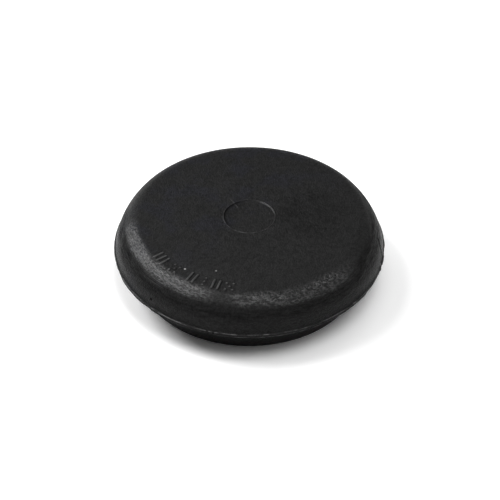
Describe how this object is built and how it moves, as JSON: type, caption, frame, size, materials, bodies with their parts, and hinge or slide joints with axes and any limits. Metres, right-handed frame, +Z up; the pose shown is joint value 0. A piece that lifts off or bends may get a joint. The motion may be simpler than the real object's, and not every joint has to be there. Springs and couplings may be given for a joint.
{
  "type": "round hole plug",
  "caption": "Round moulded rubber plug for a hole in sheet metal: wide head with rounded side, groove for the panel, tapered lip and hollow underside.",
  "frame": {"origin": "middle of the lip's foot, on the plug's axis, at the surface that the plug stands on", "axes": "+Z up along the plug's axis, from the lip to the head; the mould's raised marks are towards -Y and -X"},
  "size_m": [0.0572, 0.0572, 0.015],
  "materials": {
    "rubber": "moulded black rubber, fine matte grain with a soft sheen on the curves"
  },
  "bodies": {
    "root": {"plug": "rubber"}
  },
  "joints": []
}
